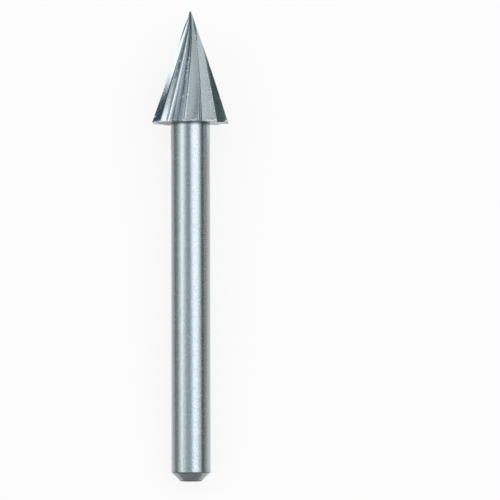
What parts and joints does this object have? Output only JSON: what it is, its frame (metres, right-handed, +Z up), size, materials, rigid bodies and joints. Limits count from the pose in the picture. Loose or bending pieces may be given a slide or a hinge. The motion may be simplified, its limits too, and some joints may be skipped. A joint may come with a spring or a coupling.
{
  "type": "rotary carving bit",
  "caption": "Pointed cone cutting head with right-hand spiral saw teeth on a plain round shank, in bare ground steel, for carving and engraving in a hand-held rotary tool.",
  "frame": {"origin": "on the plane the bit lies on, at the centre of its footprint in plan", "axes": "+Y towards the point, +Z up; the bit's own axis lies in the YZ plane and rises 3.05 degrees towards the point, because the bit rests on its head's back rim and on the end of its shank"},
  "size_m": [0.0062, 0.038, 0.0062],
  "materials": {
    "ground_steel": "bare high-speed steel, fine centreless-ground shank and wheel-ground flutes"
  },
  "bodies": {
    "root": {"carving_bit": "ground_steel"}
  },
  "joints": []
}
